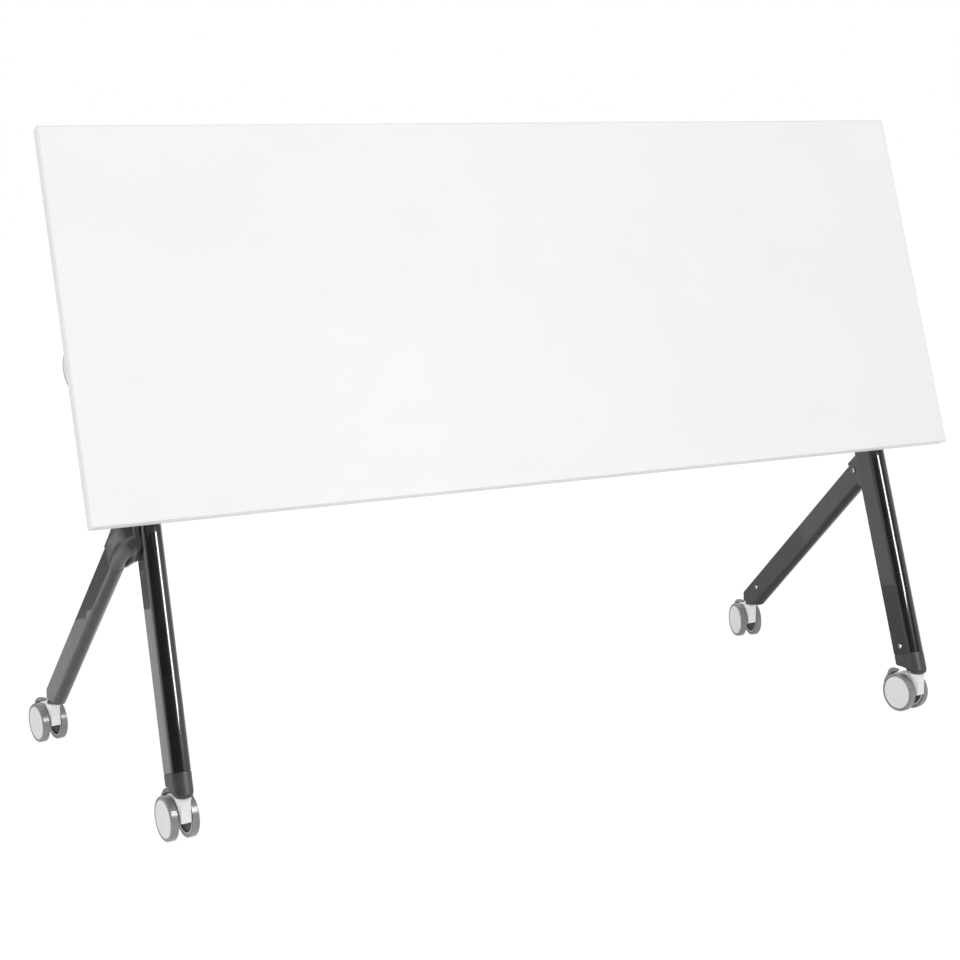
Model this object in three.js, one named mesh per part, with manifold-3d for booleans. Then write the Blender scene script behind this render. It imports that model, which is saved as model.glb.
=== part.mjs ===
// Flip-top training table on four twin-wheel casters, shown with its top flipped up for nesting.
// Millimetres, +Z up, X along the table, -Y is the side the work surface faces when flipped.
import * as THREE from 'three';
import { mergeVertices } from 'three/addons/utils/BufferGeometryUtils.js';
import Module from 'manifold-3d';

const wasm = await Module();
wasm.setup();

// ---- driving dimensions -------------------------------------------------------------------
const Y0 = 202.9467;             // shift that puts the origin under the middle of the footprint
const TOP_L = 1803, TOP_D = 704, TOP_T = 25;   // table top
const BAND = 2.0, GAP = 0.3;   // edge band thickness, clearance between pieces
const FLIP = 71.1;             // angle between the flat and the flipped top, degrees
const PIV_Y = 19.4, PIV_Z = 645;               // flip pivot
const UNDER = 68;              // pivot to underside of the top
const FRONT_EDGE = 131;        // pivot to the front edge of the top
const LEAN = 18.0;             // front leg lean, degrees
const LEG_X = 776.4, SPLAY = 0.0142;           // front leg centre at the pivot, and how far it spreads per mm downwards
const F_W = 36, F_FLAT = 46.5; // front leg section: width and flat side depth, round nose in front
const F_WALL = 2.4;
const F_SEAM = -549.4;         // foot cap seam, along the front leg from the pivot
const F_TOP = -70;             // upper end of the front leg tube
const R_W = 26.7, R_FLAT = 41.5, R_WALL = 2.2; // rear leg section
const R_P1 = [842.8, 542.7, 100], R_P2 = [814.1, 65.4, 500]; // middle of the rear leg's back edge
const R_CUT_Z = 477;           // rear leg: back edge height where the knuckle collar starts
const R_END_Y = 526, R_END_Z = 93;             // rear leg: vertical and horizontal end cuts
const KN_X0 = 797.9, KN_X1 = 827;              // knuckle block, outboard of the front leg
const STEM = { front_left: [783.5, -168], front_right: [785.5, -172], rear_left: [844.5, 519], rear_right: [844.5, 519] }; // distance from the middle, y
const FOOT_F = 88, FOOT_R = 90, HOOD_Z = 84;   // undersides of the front and rear feet, top of the caster hoods
const WHEEL_R = 40, WHEEL_SEG = 20, TRAIL = 31;
const WHEEL_IN = 12.2, WHEEL_OUT = 26.3, TYRE_IN = 33.9;
const AXLE_Z = WHEEL_R * Math.cos(Math.PI / WHEEL_SEG);
const SHAFT_Y = 150, SHAFT_Z = 48, SHAFT_R = 6; // latch shaft, in the top's own axes
const SWIVEL = { front_left: 6, rear_left: 10, front_right: 9, rear_right: -10 }; // degrees

// ---- materials ----------------------------------------------------------------------------
const mat = (color, roughness, metalness) => new THREE.MeshStandardMaterial({ color, roughness, metalness });
const M = {
  laminate: mat(0xf3f3f2, 0.45, 0), band: mat(0xe4e4e4, 0.4, 0), black: mat(0x1b1b1c, 0.28, 0.4),
  cast: mat(0x3a3a3b, 0.45, 0.4), plastic: mat(0x3d3d3d, 0.6, 0), steel: mat(0xc6c6c8, 0.25, 1),
  beam: mat(0x2a2a2b, 0.4, 0.4), bracket: mat(0x2e2e30, 0.45, 0.5), paddle: mat(0xd9d9d8, 0.5, 0),
  tyre: mat(0x858585, 0.45, 0), hub: mat(0xdadada, 0.4, 0), hood: mat(0xe9e9e8, 0.4, 0), lever: mat(0x6f6f6f, 0.5, 0),
};

// ---- solid helpers ------------------------------------------------------------------------
const D2R = Math.PI / 180;
const V = (x, y, z) => new THREE.Vector3(x, y, z);
function solid(geo) {
  const g0 = geo.clone();
  for (const k of Object.keys(g0.attributes)) if (k !== 'position') g0.deleteAttribute(k);
  const g = mergeVertices(g0, 1e-3);
  return new wasm.Manifold(new wasm.Mesh({ numProp: 3, vertProperties: new Float32Array(g.attributes.position.array), triVerts: new Uint32Array(g.index.array) }));
}
function geom(m) {
  const r = m.getMesh();
  const g = new THREE.BufferGeometry();
  g.setAttribute('position', new THREE.BufferAttribute(new Float32Array(r.vertProperties), 3));
  g.setIndex(new THREE.BufferAttribute(new Uint32Array(r.triVerts), 1));
  return g;
}
const plain = (geo) => geom(solid(geo));
function mirrored(geo) {
  const g = geo.clone();
  const p = g.attributes.position.array, i = g.index.array;
  for (let k = 0; k < p.length; k += 3) p[k] = -p[k];
  for (let k = 0; k < i.length; k += 3) { const t = i[k + 1]; i[k + 1] = i[k + 2]; i[k + 2] = t; }
  return g;
}
function shapeOf(pts, holes = []) {
  const s = new THREE.Shape(pts.map(([a, b]) => new THREE.Vector2(a, b)));
  for (const h of holes) s.holes.push(new THREE.Path(h.map(([a, b]) => new THREE.Vector2(a, b))));
  return s;
}
function extrude(pts, depth, holes = []) {
  return new THREE.ExtrudeGeometry(shapeOf(pts, holes), { depth, bevelEnabled: false, steps: 1 });
}
// prism along X from a (y, z) outline
function prismX(pts, x0, x1, holes = []) {
  const g = extrude(pts, x1 - x0, holes);
  g.applyMatrix4(new THREE.Matrix4().makeBasis(V(0, 1, 0), V(0, 0, 1), V(1, 0, 0)));
  g.translate(x0, 0, 0);
  return g;
}
function box(x0, x1, y0, y1, z0, z1) {
  const g = new THREE.BoxGeometry(x1 - x0, y1 - y0, z1 - z0);
  g.translate((x0 + x1) / 2, (y0 + y1) / 2, (z0 + z1) / 2);
  return g;
}
function cylX(r, x0, x1, y, z, seg = 16) {
  const g = new THREE.CylinderGeometry(r, r, x1 - x0, seg);
  g.rotateZ(-Math.PI / 2);
  g.translate((x0 + x1) / 2, y, z);
  return g;
}
function cylZ(r, z0, z1, x, y, seg = 14) {
  const g = new THREE.CylinderGeometry(r, r, z1 - z0, seg);
  g.rotateX(Math.PI / 2);
  g.translate(x, y, (z0 + z1) / 2);
  return g;
}
const circle = (cy, cz, r, n = 20, a0 = 0) => Array.from({ length: n }, (_, k) => [cy + r * Math.cos(a0 + 2 * Math.PI * k / n), cz + r * Math.sin(a0 + 2 * Math.PI * k / n)]);
// solid of revolution about X from (radius, x) points that start and end on the axis or close
function latheX(pts, seg) {
  const g = new THREE.LatheGeometry(pts.map(([r, h]) => new THREE.Vector2(r, h)), seg);
  g.rotateZ(-Math.PI / 2); // lathe axis Y -> X
  g.rotateX(Math.PI / seg); // a flat of the polygon, not a corner, faces down
  return solidOut(g);
}
function latheZ(pts, seg) {
  const g = new THREE.LatheGeometry(pts.map(([r, h]) => new THREE.Vector2(r, h)), seg);
  g.rotateX(Math.PI / 2);
  return solidOut(g);
}
// makes sure that the faces of a turned profile point out
function solidOut(g) {
  const h = g.clone();
  for (const k of Object.keys(h.attributes)) if (k !== 'position') h.deleteAttribute(k);
  const m = mergeVertices(h, 1e-3);
  const p = m.attributes.position.array, i = m.index.array;
  let vol = 0;
  const keep = [];
  for (let k = 0; k < i.length; k += 3) {
    const a = i[k], b = i[k + 1], c = i[k + 2];
    if (a === b || b === c || a === c) continue;
    keep.push(a, b, c);
    const A = V(p[3 * a], p[3 * a + 1], p[3 * a + 2]), B = V(p[3 * b], p[3 * b + 1], p[3 * b + 2]), C = V(p[3 * c], p[3 * c + 1], p[3 * c + 2]);
    vol += A.dot(B.cross(C));
  }
  if (vol < 0) for (let k = 0; k < keep.length; k += 3) { const t = keep[k + 1]; keep[k + 1] = keep[k + 2]; keep[k + 2] = t; }
  m.setIndex(keep);
  return m;
}
const union = (...gs) => gs.map(solid).reduce((a, b) => a.add(b));
const cut = (m, ...gs) => gs.map(solid).reduce((a, b) => a.subtract(b), m);

const rect = (cy, cz, hy, hz, r, n = 3) => {
  const out = [];
  for (const [sy, sz, a0] of [[1, 1, 0], [-1, 1, 90], [-1, -1, 180], [1, -1, 270]]) for (let k = 0; k <= n; k++) {
    const a = (a0 + 90 * k / n) * D2R;
    out.push([cy + sy * (hy - r) + r * Math.cos(a), cz + sz * (hz - r) + r * Math.sin(a)]);
  }
  return out;
};

// D-shaped section: back edge at t = 0, flat sides, round nose towards -t
function dSection(w, flat, inset = 0, n = 12) {
  const h = w / 2 - inset, pts = [[h, -inset], [-h, -inset], [-h, -flat]];
  for (let k = 1; k < n; k++) { const a = Math.PI * k / n; pts.push([-h * Math.cos(a), -flat - h * Math.sin(a)]); }
  pts.push([h, -flat]);
  return pts;
}

// ---- legs ---------------------------------------------------------------------------------
const lean = LEAN * D2R;
const aF = V(0, Math.sin(lean), Math.cos(lean)), tF = V(0, Math.cos(lean), -Math.sin(lean));
const runF = aF.clone().setX(-SPLAY);
const F_TOT = F_FLAT + F_W / 2;
// front leg axes: s across, t backwards, q along the leg from the pivot
function frontBar(section, q0, q1, holes = []) {
  const g = extrude(section, q1 - q0, holes);
  const o = V(LEG_X, PIV_Y, PIV_Z).addScaledVector(tF, F_TOT / 2).addScaledVector(runF, q0);
  g.applyMatrix4(new THREE.Matrix4().makeBasis(V(1, 0, 0), tF, runF).setPosition(o));
  return g;
}
const frontPt = (t, q) => { const p = V(0, PIV_Y, PIV_Z).addScaledVector(tF, t).addScaledVector(aF, q); return [p.y, p.z]; };

const P1 = V(...R_P1), P2 = V(...R_P2);
const uR = P2.clone().sub(P1).normalize();
const wR = V(1, 0, 0).addScaledVector(uR, -uR.x).normalize();
const dR = uR.clone().cross(wR);
const rCutLen = (R_CUT_Z - R_P1[2]) / uR.z;
function rearBar(section, q0, q1, holes = []) {
  const g = extrude(section, q1 - q0, holes);
  g.applyMatrix4(new THREE.Matrix4().makeBasis(wR, dR, uR).setPosition(P1.clone().addScaledVector(uR, q0)));
  return g;
}

// screw places on the inboard faces: [x of the face, y, z]
const SCREW_F = [LEG_X + SPLAY * 533.7 - F_W / 2, -141, 136];
const screwRearB = [0, 466, 137], screwRearT = [0, 63, 475.5];
// x of the rear leg's inboard face at a point of that face
const rearInner = (y, z, w) => P1.x - (w / 2 + wR.y * (y - P1.y) + wR.z * (z - P1.z)) / wR.x;
screwRearB[0] = rearInner(screwRearB[1], screwRearB[2], R_W) - 0.4;
screwRearT[0] = Math.min(KN_X0, rearInner(screwRearT[1], screwRearT[2], R_W + 5)) - 0.4;
function screwAt([x, y, z], len) {
  // button head with a hexagon socket, shank towards +X
  const body = latheX([[0, 0], [2.6, 0], [4.2, 0.7], [4.7, 2.0], [4.7, 2.6], [2.7, 2.6], [2.7, 2.6 + len], [0, 2.6 + len]], 10);
  const s = cut(solid(body), cylX(1.7, -1, 1.6, 0, 0, 6));
  const g = geom(s);
  g.translate(x - 2.6 - GAP, y, z);
  return g;
}
const screwHole = ([x, y, z], x0, x1) => cylX(3.1, x + x0, x + x1, y, z, 12);

const frontLeg = geom(cut(solid(frontBar(dSection(F_W, F_FLAT), F_SEAM, F_TOP, [dSection(F_W, F_FLAT, F_WALL)])),
  screwHole(SCREW_F, -5, 6)));

// foot cap under the front leg, with a spigot in the tube and a socket for the caster stem
const capBody = solid(frontBar(dSection(F_W, F_FLAT), F_SEAM - 75, F_SEAM - GAP))
  .add(solid(frontBar(dSection(F_W, F_FLAT, F_WALL + 0.4), F_SEAM - 5, F_SEAM + 48)));
const frontCap = (at) => geom(cut(capBody, box(700, 860, -400, 100, -50, FOOT_F), box(700, 860, -157, 100, 0, 92.5),
  cylZ(5.9, 0, 122, at[0], at[1]), screwHole(SCREW_F, -5, 22)));

const rearTrim = [box(700, 1000, R_END_Y, 900, -200, 700), box(700, 1000, -200, 900, -300, R_END_Z)];
const rearLeg = geom(cut(solid(rearBar(dSection(R_W, R_FLAT), -140, rCutLen, [dSection(R_W, R_FLAT, R_WALL)])), ...rearTrim,
  screwHole(screwRearB, -8, 7)));
const rearPlug = geom(cut(solid(rearBar(dSection(R_W, R_FLAT, R_WALL + 0.4), -140, 78)),
  box(700, 1000, R_END_Y - GAP, 900, -200, 700), box(700, 1000, -200, 900, -300, FOOT_R),
  cylZ(5.9, 0, 108, STEM.rear_right[0], STEM.rear_right[1]), screwHole(screwRearB, -8, 20)));

// leg head: one casting that joins the front leg, the rear leg, the beam and the flip pivot
const headOutline = [];
{
  const r = F_TOT / 2;
  headOutline.push(frontPt(r, F_TOP + GAP));
  for (let k = 0; k <= 14; k++) { const a = Math.PI * k / 14; headOutline.push(frontPt(r * Math.cos(a), r * Math.sin(a))); }
  headOutline.push(frontPt(-r, F_TOP + GAP));
}
const head0 = prismX(headOutline, LEG_X - F_W / 2, LEG_X + F_W / 2);
const ARM = [[26, -30], [70, -18], [128, 8], [140, 8], [140, 20], [124, 25], [20, 25], [0, 0]].map(([y, z]) => [PIV_Y + y, PIV_Z + z]);
const arm = prismX(ARM, LEG_X - 11, LEG_X + 11);
const KNUCKLE = [[106, 474], [96, 470], [74, 437], [60, 444.5], [44, 452], [29, 457.8], [14, 462.6], [0, 467], [-14, 471.2], [-21, 485], [-30, 500],
  [-33, 515], frontPt(-8, -80), frontPt(-14, -42), frontPt(24, -42), frontPt(F_TOT / 2, -78), [66, 512], [92, 488]];
// the knuckle stops at the square end of the rear leg tube
const belowCut = rearBar([[-60, -95], [60, -95], [60, 50], [-60, 50]], rCutLen - 120, rCutLen + GAP);
// and slants inwards at its front, where it runs into the side of the front leg
const slant = frontBar([[50.5, 24], [21, -11], [21, -90], [120, -90], [120, 24]].map(([u, t]) => [u, t - F_TOT / 2]), -230, -40);
const knuckle = geom(cut(solid(prismX(KNUCKLE, KN_X0, KN_X1)), belowCut, slant));
const bridge = prismX([frontPt(-14, -66), frontPt(28, -66), frontPt(24, -42), frontPt(-10, -42)], LEG_X + 4, KN_X1 - 4);
const collar = cut(solid(rearBar(dSection(R_W + 5, R_FLAT + 2.5).map(([s, t]) => [s, t + 2.5]), rCutLen + GAP, rCutLen + 66)),
  box(600, KN_X0, -300, 300, 300, 800));
const rearSpigot = rearBar(dSection(R_W, R_FLAT, R_WALL + 0.4), rCutLen - 45, rCutLen + 10);
const frontSpigot = frontBar(dSection(F_W, F_FLAT, F_WALL + 0.4), F_TOP - 45, F_TOP + 8);
const BEAM = { y: PIV_Y - 7, z: PIV_Z - 46, hy: 15, hz: 20, wall: 2.5 };
const beamSpigot = prismX(rect(BEAM.y, BEAM.z, BEAM.hy - BEAM.wall - 0.4, BEAM.hz - BEAM.wall - 0.4, 2.6), LEG_X - F_W / 2 - 40, LEG_X - 5);
const legHead = geom(cut(union(head0, arm, knuckle, bridge).add(collar).add(solid(frontSpigot)).add(solid(beamSpigot)).add(solid(rearSpigot)),
  cylX(5.3, 740, 830, PIV_Y, PIV_Z, 16), screwHole(screwRearT, -8, 20)));

const BX = LEG_X - F_W / 2 - GAP;
const beam = plain(prismX(rect(BEAM.y, BEAM.z, BEAM.hy, BEAM.hz, 5), -BX, BX, [rect(BEAM.y, BEAM.z, BEAM.hy - BEAM.wall, BEAM.hz - BEAM.wall, 2.5)]));
const pin = plain(cylX(5, LEG_X - 28, LEG_X + 28, PIV_Y, PIV_Z, 16));

// ---- table top in its own axes: origin at the pivot, flat ----------------------------------
const yF = -FRONT_EDGE, yR = TOP_D - FRONT_EDGE, hx = TOP_L / 2, z0 = UNDER, z1 = UNDER + TOP_T;
const core = plain(box(-hx + BAND + GAP, hx - BAND - GAP, yF + BAND + GAP, yR - BAND - GAP, z0, z1));
const bandFront = plain(box(-hx + BAND + GAP, hx - BAND - GAP, yF, yF + BAND, z0, z1));
const bandRear = plain(box(-hx + BAND + GAP, hx - BAND - GAP, yR - BAND, yR, z0, z1));
const bandLeft = plain(box(-hx, -hx + BAND, yF, yR, z0, z1));
const bandRight = plain(box(hx - BAND, hx, yF, yR, z0, z1));

const earPts = [[-45, z0 - 4], ...Array.from({ length: 13 }, (_, k) => { const a = (200 + 140 * k / 12) * D2R; return [18 * Math.cos(a), 18 * Math.sin(a)]; }), [45, z0 - 4]];
const ear = (x0, x1) => prismX(earPts, x0, x1, [circle(0, 0, 5.4, 16)]);
const shEarPts = [[128, z0 - 4], ...Array.from({ length: 9 }, (_, k) => { const a = (200 + 140 * k / 8) * D2R; return [SHAFT_Y + 12 * Math.cos(a), SHAFT_Z + 12 * Math.sin(a)]; }), [172, z0 - 4]];
const shEar = (x0, x1) => prismX(shEarPts, x0, x1, [circle(SHAFT_Y, SHAFT_Z, 6.5, 16)]);
const bracket = geom(union(box(LEG_X - 34, LEG_X + 34, -95, 190, z0 - 6, z0 - GAP), ear(LEG_X - 26, LEG_X - 19), ear(LEG_X + 19, LEG_X + 26),
  shEar(LEG_X - 17, LEG_X - 12), shEar(LEG_X + 12, LEG_X + 17)));

// latch: one shaft across the table with a welded hook at each leg head, and the release paddle
const HOOK = [[144, 50], [144, 42], [147, 32], [147, 6], [132, 6], [132, 1], [136, -3], [154, -3], [157, 2], [157, 42], [156, 50]];
const hook = (c) => prismX(HOOK, c - 8, c + 8);
const shaft = geom(union(cylX(SHAFT_R, -848, LEG_X + 24, SHAFT_Y, SHAFT_Z, 16), hook(LEG_X), hook(-LEG_X)));
const padOut = [];
for (let k = 0; k <= 10; k++) { const a = (160 + 40 * k / 10) * D2R; padOut.push([-900.8 + 82 * (1 + Math.cos(a)), SHAFT_Y + 2 + 82 * Math.sin(a)]); }
const padPlan = [...padOut.slice().sort((p, q) => q[1] - p[1]), [-845, SHAFT_Y - 24], [-838, SHAFT_Y - 15], [-838, SHAFT_Y + 15], [-845, SHAFT_Y + 26]];
const padPlate = extrude(padPlan, 10);
padPlate.translate(0, 0, SHAFT_Z - 5);
const paddle = geom(cut(union(padPlate, cylX(9.5, -876, -838, SHAFT_Y, SHAFT_Z, 16)), cylX(6.3, -849, -830, SHAFT_Y, SHAFT_Z, 16)));

// ---- caster in its own axes: origin on the stem axis at the floor, wheels trail towards +Y ---
const AY = TRAIL, AZ = AXLE_Z;
const arcYZ = (r, a0, a1, n) => Array.from({ length: n + 1 }, (_, k) => { const a = (a0 + (a1 - a0) * k / Math.max(n, 1)) * D2R; return [AY + r * Math.cos(a), AZ + r * Math.sin(a)]; });
const LUG = arcYZ(46, 15, 15, 0)[0];
const fin = [[-12, 40], [17, 31], [31, 27.5], [45, 30.5], [63, 41], ...arcYZ(43, 12, 22, 1), ...arcYZ(41, 28, 80, 7), [-10, HOOD_Z], [-12, HOOD_Z - 2]];
const hoodSolid = cut(union(prismX(fin, -9.2, 9.2), cylX(5.2, -9.2, 9.2, LUG[0], LUG[1], 12), cylX(2, -12.2, 12.2, LUG[0], LUG[1], 10),
  latheZ([[0, 57], [9.4, 57], [12, 73], [14, 78], [14, HOOD_Z - 1], [13, HOOD_Z], [0, HOOD_Z]], 16)),
  cylZ(5.9, 52, 92, 0, 0, 14), cylX(4.3, -12, 12, AY, AZ, 12));
const hood = geom(hoodSolid);
const stem = (foot, top) => plain(latheZ([[0, 53], [5.5, 53], [5.5, HOOD_Z + 0.4], [11.3, HOOD_Z + 0.4], [11.3, foot - GAP], [5.5, foot - GAP], [5.5, top], [0, top]], 14));
const axle = plain(latheX([[0, -21.5], [4, -21.5], [4, 21.5], [0, 21.5]], 12));
const tyrePts = [[TYRE_IN, WHEEL_IN], [38.2, WHEEL_IN], [WHEEL_R, WHEEL_IN + 1.8], [WHEEL_R, WHEEL_OUT - 2.4], [37.6, WHEEL_OUT], [TYRE_IN, WHEEL_OUT], [TYRE_IN, WHEEL_IN]];
const hubPts = [[4.4, WHEEL_IN + 0.6], [TYRE_IN - GAP, WHEEL_IN + 0.6], [TYRE_IN - GAP, WHEEL_OUT - 0.6], [TYRE_IN - 1.6, WHEEL_OUT + 0.2],
  [0, WHEEL_OUT + 0.4], [0, 22], [4.4, 22], [4.4, WHEEL_IN + 0.6]];
const tyre = plain(latheX(tyrePts, WHEEL_SEG)), hub = plain(latheX(hubPts, WHEEL_SEG));
const place = (g) => { const h = g.clone(); h.translate(0, AY, AZ); return h; };
// brake pedal: hinged on the lug behind the wheels, its tab stands up over them
const pedal = [[LUG[0] - 1, LUG[1] - 5], [LUG[0] + 4.5, LUG[1] - 4], [LUG[0] + 6, LUG[1] + 2], ...arcYZ(50.2, 26, 36, 3), ...arcYZ(57, 42, 46.5, 1), ...arcYZ(50.4, 51, 51, 0), ...arcYZ(47, 54, 54, 0), ...arcYZ(45, 54, 40, 4), ...arcYZ(45.6, 34, 30, 1), [LUG[0] - 3.5, LUG[1] + 3.5]];
const lever = geom(cut(solid(prismX(pedal, -12.6, 12.6)), prismX(circle(LUG[0], LUG[1], 7.4, 16), -10, 10), cylX(2.35, -14, 14, LUG[0], LUG[1], 12)));

// ---- assembly -------------------------------------------------------------------------------
const root = new THREE.Group();
root.position.set(0, -Y0, 0);
function add(parent, name, geometry, material) {
  const g = geometry.index ? geometry.toNonIndexed() : geometry;
  g.computeVertexNormals();
  const m = new THREE.Mesh(g, material);
  m.name = name;
  parent.add(m);
  return m;
}
const SIDES = [['right', (g) => g], ['left', mirrored]];
for (const [side, f] of SIDES) {
  add(root, `front_leg_${side}`, f(frontLeg), M.black);
  add(root, `front_foot_cap_${side}`, f(frontCap(STEM[`front_${side}`])), M.plastic);
  add(root, `rear_leg_${side}`, f(rearLeg), M.black);
  add(root, `rear_foot_plug_${side}`, f(rearPlug), M.plastic);
  add(root, `leg_head_${side}`, f(legHead), M.cast);
  add(root, `pivot_pin_${side}`, f(pin), M.steel);
  add(root, `screw_front_foot_${side}`, f(screwAt(SCREW_F, 16)), M.steel);
  add(root, `screw_rear_foot_${side}`, f(screwAt(screwRearB, 14)), M.steel);
  add(root, `screw_knuckle_${side}`, f(screwAt(screwRearT, 14)), M.steel);
}
add(root, 'cross_beam', beam, M.beam);

const top = new THREE.Group();
top.position.set(0, PIV_Y, PIV_Z);
top.rotation.x = FLIP * D2R;
root.add(top);
add(top, 'tabletop_board', core, M.laminate);
add(top, 'edge_band_front', bandFront, M.band);
add(top, 'edge_band_rear', bandRear, M.band);
add(top, 'edge_band_left', bandLeft, M.band);
add(top, 'edge_band_right', bandRight, M.band);
for (const [side, f] of SIDES) add(top, `top_bracket_${side}`, f(bracket), M.bracket);
add(top, 'latch_shaft', shaft, M.steel);
add(top, 'release_paddle', paddle, M.paddle);

for (const [key, deg] of Object.entries(SWIVEL)) {
  const c = new THREE.Group();
  const at = STEM[key], sx = key.endsWith('left') ? -1 : 1;
  c.position.set(sx * at[0], at[1], 0);
  c.rotation.z = deg * D2R;
  root.add(c);
  add(c, `caster_stem_${key}`, key.startsWith('front') ? stem(FOOT_F, 118) : stem(FOOT_R, 107), M.steel);
  add(c, `caster_hood_${key}`, hood, M.hood);
  add(c, `caster_axle_${key}`, place(axle), M.steel);
  add(c, `brake_pedal_${key}`, lever, M.lever);
  for (const [w, f] of [['a', mirrored], ['b', (g) => g]]) {
    add(c, `tyre_${key}_${w}`, place(f(tyre)), M.tyre);
    add(c, `wheel_hub_${key}_${w}`, place(f(hub)), M.hub);
  }
}
root.updateMatrixWorld(true);
export default root;
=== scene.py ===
"""Flip-top training table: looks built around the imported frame. Lengths in the helpers are millimetres."""
import math

import bmesh
import bpy
import numpy as np
from mathutils import Matrix, Vector


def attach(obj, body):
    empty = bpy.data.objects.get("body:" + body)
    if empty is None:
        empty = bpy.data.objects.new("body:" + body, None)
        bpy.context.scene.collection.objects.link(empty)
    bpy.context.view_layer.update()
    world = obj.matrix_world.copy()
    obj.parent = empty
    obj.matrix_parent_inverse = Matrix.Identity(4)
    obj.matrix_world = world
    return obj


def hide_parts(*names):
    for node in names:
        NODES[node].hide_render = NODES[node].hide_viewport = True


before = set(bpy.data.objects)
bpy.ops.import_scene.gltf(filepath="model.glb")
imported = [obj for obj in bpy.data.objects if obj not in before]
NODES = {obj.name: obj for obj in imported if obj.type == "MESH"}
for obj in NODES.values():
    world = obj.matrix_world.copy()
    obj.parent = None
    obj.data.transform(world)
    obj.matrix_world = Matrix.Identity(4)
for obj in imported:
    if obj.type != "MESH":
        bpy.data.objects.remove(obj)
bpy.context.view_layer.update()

# ---------------------------------------------------------------- sizes shared with the construction
Y0 = 202.9467
PIV = np.array([0.0, 19.4, 645.0])
FLIP = math.radians(71.1)
LEAN = math.radians(18.0)
AF = np.array([0.0, math.sin(LEAN), math.cos(LEAN)])
TF = np.array([0.0, math.cos(LEAN), -math.sin(LEAN)])
LEG_X, SPLAY, F_W, F_FLAT = 776.4, 0.0142, 36.0, 46.5
RUN = AF - np.array([SPLAY, 0, 0])
F_TOT = F_FLAT + F_W / 2
F_SEAM, F_TOP = -549.4, -70.0
R_W, R_FLAT = 26.7, 41.5
P1, P2 = np.array([842.8, 542.7, 100.0]), np.array([814.1, 65.4, 500.0])
UR = (P2 - P1) / np.linalg.norm(P2 - P1)
WR = np.array([1.0, 0, 0]) - UR[0] * UR
WR /= np.linalg.norm(WR)
DR = np.cross(UR, WR)
R_CUT = (477.0 - 100.0) / UR[2]
R_END_Y, R_END_Z = 526.0, 93.0
FOOT_F, FOOT_R, HOOD_Z = 88.0, 90.0, 84.0
AXLE_Z = 40 * math.cos(math.pi / 20)
TRAIL = 31.0
SWIVEL = {"front_left": 6, "rear_left": 10, "front_right": 9, "rear_right": -10}
STEM = {"front_left": (783.5, -168.0), "front_right": (785.5, -172.0), "rear_left": (844.5, 519.0), "rear_right": (844.5, 519.0)}


# ---------------------------------------------------------------- mesh helpers
def row(v):
    """Millimetres with the construction's own Y to metres in the row frame."""
    v = np.asarray(v, float).reshape(-1, 3).copy()
    v[:, 1] -= Y0
    return v / 1000.0


def obj_from(name, verts, faces, mats, body, slot=None, stands_for=(), smooth=True, sharp=None, mat_ids=None, uv=None, even=False):
    me = bpy.data.meshes.new(name)
    me.from_pydata([tuple(p) for p in row(verts)], [], [tuple(int(i) for i in f) for f in faces])
    me.validate()
    for m in mats if isinstance(mats, (list, tuple)) else [mats]:
        me.materials.append(m)
    if mat_ids is not None:
        me.polygons.foreach_set("material_index", np.asarray(mat_ids, np.int32))
    me.polygons.foreach_set("use_smooth", np.full(len(me.polygons), smooth))
    if uv is not None:
        layer = me.uv_layers.new(name="run")
        loops = np.zeros(len(me.loops), np.int32)
        me.loops.foreach_get("vertex_index", loops)
        layer.data.foreach_set("uv", np.asarray(uv, np.float32)[loops].ravel())
    me.update()
    if sharp is not None:
        me.set_sharp_from_angle(angle=math.radians(sharp))
    if even:
        me.normals_split_custom_set([tuple(n) for n in area_normals(me)])
    o = bpy.data.objects.new(name, me)
    bpy.context.scene.collection.objects.link(o)
    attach(o, body)
    if stands_for:
        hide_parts(*stands_for)
    return o


def area_normals(me):
    """Corner normals weighted by face area, so that flats stay flat next to small fillets. End faces with many sides keep their own."""
    n = len(me.polygons)
    fn, fa = np.zeros(n * 3, np.float32), np.zeros(n, np.float32)
    me.polygons.foreach_get("normal", fn)
    me.polygons.foreach_get("area", fa)
    tot = np.zeros(n, np.int32)
    me.polygons.foreach_get("loop_total", tot)
    li = np.zeros(len(me.loops), np.int32)
    me.loops.foreach_get("vertex_index", li)
    fn = fn.reshape(-1, 3)
    big = tot > 8
    w = np.repeat(fn * np.where(big, 0.0, fa)[:, None], tot, axis=0)
    acc = np.zeros((len(me.vertices), 3))
    np.add.at(acc, li, w)
    acc /= np.maximum(np.linalg.norm(acc, axis=1), 1e-12)[:, None]
    return np.where(np.repeat(big, tot)[:, None], np.repeat(fn, tot, axis=0), acc[li])


def flip(faces):
    return [tuple(reversed(f)) for f in faces]


def mirror(verts, faces):
    v = np.asarray(verts, float).copy()
    v[:, 0] *= -1
    return v, flip(faces)


def loft(rings, closed_ends=True):
    """Skin over rings of equal length, each an (n, 3) array. Ends get n-gons."""
    n = len(rings[0])
    verts = np.concatenate(rings)
    faces = []
    for k in range(len(rings) - 1):
        a, b = k * n, (k + 1) * n
        for i in range(n):
            j = (i + 1) % n
            faces.append((a + i, a + j, b + j, b + i))
    if closed_ends:
        faces.append(tuple(reversed(range(n))))
        last = (len(rings) - 1) * n
        faces.append(tuple(last + i for i in range(n)))
    return verts, faces


def outward(verts, faces):
    """Faces turned so that the enclosed volume is positive."""
    v = np.asarray(verts, float)
    c = v.mean(0)
    vol = 0.0
    for f in faces:
        p = v[list(f)] - c
        for k in range(1, len(f) - 1):
            vol += np.dot(p[0], np.cross(p[k], p[k + 1]))
    return faces if vol > 0 else flip(faces)


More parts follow.
